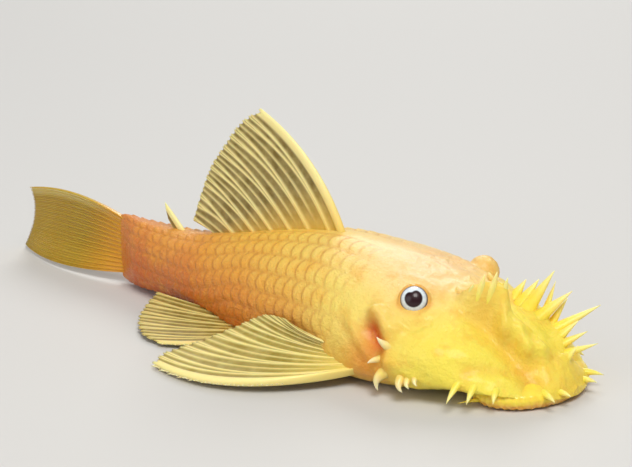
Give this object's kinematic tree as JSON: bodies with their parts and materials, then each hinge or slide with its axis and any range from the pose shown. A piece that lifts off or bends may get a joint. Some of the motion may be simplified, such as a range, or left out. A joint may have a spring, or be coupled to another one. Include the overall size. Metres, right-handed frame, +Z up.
{
  "type": "bristlenose pleco",
  "caption": "Life-size albino bristlenose catfish resting on its belly, with a branching beard of snout bristles, sucker mouth, plated sides and spread fins.",
  "frame": {"origin": "on the floor under the middle of the flat belly", "axes": "+X the way the head faces, +Y the fish's left, +Z up"},
  "size_m": [0.1312, 0.0616, 0.0378],
  "materials": {
    "skin_head": "moist lemon yellow skin, pinkish over the nape",
    "skin_body": "moist plated skin, yellow back fading to orange low on the sides",
    "lips": "soft amber lips",
    "fin": "translucent straw-coloured membrane with paler rays",
    "eye": "clear cornea over a pale blue iris and a dark red pupil"
  },
  "bodies": {
    "root": {"head": "skin_head", "torso": "skin_body", "tail": "skin_body", "sucker_mouth": "lips", "dorsal_fin": "fin", "adipose_fin": "fin", "caudal_fin": "fin", "anal_fin": "fin", "pectoral_fin_right": "fin", "pectoral_fin_left": "fin", "pelvic_fin_right": "fin", "pelvic_fin_left": "fin", "eye_right": "eye", "eye_left": "eye"}
  },
  "joints": []
}
